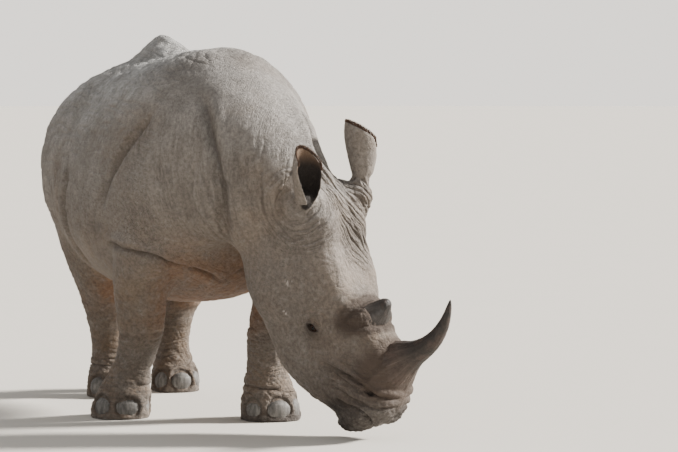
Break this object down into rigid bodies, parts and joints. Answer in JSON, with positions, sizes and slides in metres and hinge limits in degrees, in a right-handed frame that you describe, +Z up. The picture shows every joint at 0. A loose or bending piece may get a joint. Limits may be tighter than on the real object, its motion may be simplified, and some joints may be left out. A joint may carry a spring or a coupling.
{
  "type": "white rhinoceros",
  "caption": "Life-size still model of a white rhinoceros, walking with its head swung to its left and lowered to graze.",
  "frame": {"origin": "centre of the bounding box at floor level, under the belly", "axes": "+X is the way the trunk faces, +Y is the animal's left, +Z is up; the head is turned about 35 degrees to +Y"},
  "size_m": [2.9182, 1.3018, 1.8591],
  "materials": {
    "skin": "rough",
    "horn": "rough",
    "nail": "satin",
    "eye": "gloss"
  },
  "bodies": {
    "root": {"ear_left": "skin", "ear_right": "skin", "eye_left": "eye", "eye_right": "eye", "forefoot_left": "skin", "forefoot_left_nail_left": "nail", "forefoot_left_nail_middle": "nail", "forefoot_left_nail_right": "nail", "forefoot_right": "skin", "forefoot_right_nail_left": "nail", "forefoot_right_nail_middle": "nail", "forefoot_right_nail_right": "nail", "foreleg_left": "skin", "foreleg_right": "skin", "head": "skin", "hindfoot_left": "skin", "hindfoot_left_nail_left": "nail", "hindfoot_left_nail_middle": "nail", "hindfoot_left_nail_right": "nail", "hindfoot_right": "skin", "hindfoot_right_nail_left": "nail", "hindfoot_right_nail_middle": "nail", "hindfoot_right_nail_right": "nail", "hindleg_left": "skin", "hindleg_right": "skin", "horn_front": "horn", "horn_rear": "horn", "neck": "skin", "tail": "skin", "trunk": "skin"}
  },
  "joints": []
}
